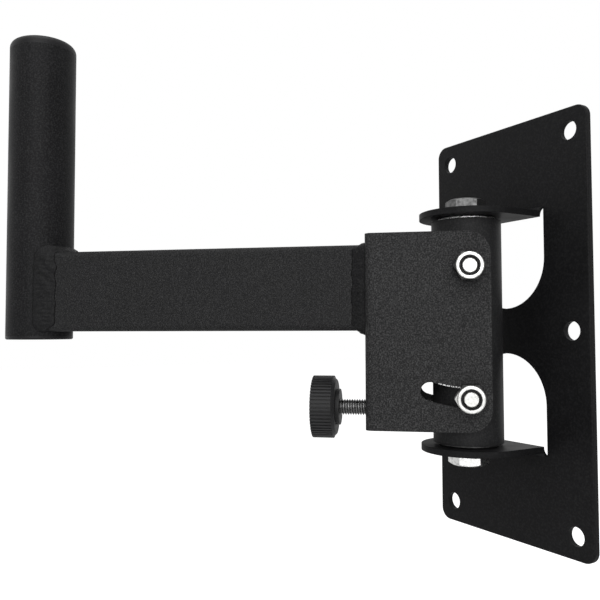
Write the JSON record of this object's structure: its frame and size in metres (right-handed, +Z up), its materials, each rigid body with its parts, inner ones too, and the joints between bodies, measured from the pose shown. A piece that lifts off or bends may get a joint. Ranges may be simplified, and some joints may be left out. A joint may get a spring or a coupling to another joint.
{
  "type": "speaker wall bracket",
  "caption": "Wall bracket for a speaker: a folded plate with ears carries a swivelling, tilting arm that ends in an upright tube for the speaker's pole socket.",
  "frame": {"origin": "centre of the wall plate's back face", "axes": "+Y into the wall, so the bracket reaches to -Y; +Z up, along the upright tube; +X to the right seen from the room"},
  "size_m": [0.2162, 0.2216, 0.2652],
  "materials": {
    "plate_paint": "satin",
    "arm_paint": "textured",
    "pole_paint": "satin",
    "zinc": "bright zinc",
    "dark_steel": "dark",
    "nylon": "matt",
    "black_plastic": "matt"
  },
  "bodies": {
    "wall": {"wall_plate": "plate_paint"},
    "swivel": {"swivel_tube": "plate_paint", "upper_plug": "zinc", "lower_plug": "zinc", "upper_thrust_washer": "zinc", "lower_thrust_washer": "zinc", "upper_pivot_bolt": "zinc", "lower_pivot_bolt": "zinc", "tilt_bolt": "zinc", "tilt_nut": "zinc", "tilt_nut_insert": "nylon", "clamp_bolt": "zinc", "clamp_nut": "zinc", "clamp_nut_insert": "nylon"},
    "yoke_arm": {"yoke": "arm_paint", "weld_nut": "arm_paint", "arm_tube": "arm_paint", "web_weld": "arm_paint", "pole_weld": "arm_paint", "pole_tube": "pole_paint", "pole_top_cap": "black_plastic", "pole_bottom_cap": "black_plastic"},
    "thumb": {"thumb_screw": "dark_steel", "thumb_knob": "black_plastic"}
  },
  "joints": [
    {"name": "swivel_turn", "type": "hinge", "parent": "wall", "child": "swivel", "pos_m": [0, -0.03, 0], "axis": [0, 0, 1], "range_deg": [-49.5, 130.5]},
    {"name": "tilt", "type": "hinge", "parent": "swivel", "child": "yoke_arm", "pos_m": [0, -0.03, 0.03], "axis": [0.7604, -0.6494, 0], "range_deg": [0, 10]},
    {"name": "thumb_travel", "type": "slide", "parent": "yoke_arm", "child": "thumb", "axis": [-0.6494, -0.7604, 0], "range_m": [0, 0.0138]}
  ],
  "couplings": [
    {"joint": "thumb_travel", "follows": "tilt", "m_per_rad": 0.078}
  ]
}
